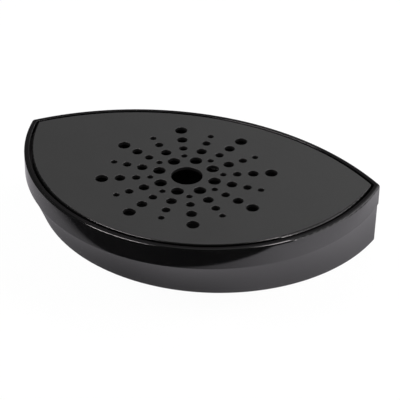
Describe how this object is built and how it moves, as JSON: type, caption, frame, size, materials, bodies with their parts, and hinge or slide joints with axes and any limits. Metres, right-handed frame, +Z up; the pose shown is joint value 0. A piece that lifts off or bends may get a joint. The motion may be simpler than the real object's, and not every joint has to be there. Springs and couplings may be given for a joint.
{
  "type": "drip tray",
  "caption": "Countertop drip tray for a drink dispenser: lens-shaped base housing on rubber feet, lift-out drip pan and lift-off perforated splash plate.",
  "frame": {"origin": "middle of the tray's width and depth, on the counter under the rubber feet", "axes": "+Z up, +X along the tray's width to its right tip, -Y towards the deep rounded front"},
  "size_m": [0.3046, 0.1984, 0.063],
  "materials": {
    "base_plastic": "polished black moulded plastic",
    "pan_plastic": "polished black moulded plastic",
    "plate_plastic": "fine satin dark grey moulded plastic",
    "foot_rubber": "soft matt black rubber"
  },
  "bodies": {
    "base": {"base_housing": "base_plastic", "foot_front_left": "foot_rubber", "foot_front_right": "foot_rubber", "foot_back_left": "foot_rubber", "foot_back_right": "foot_rubber"},
    "pan": {"drip_pan": "pan_plastic"},
    "plate": {"splash_plate": "plate_plastic"}
  },
  "joints": [
    {"name": "pan_lift", "type": "slide", "parent": "base", "child": "pan", "axis": [0, 0, 1], "range_m": [0, 0.08]},
    {"name": "plate_lift", "type": "slide", "parent": "pan", "child": "plate", "axis": [0, 0, 1], "range_m": [0, 0.06]}
  ]
}
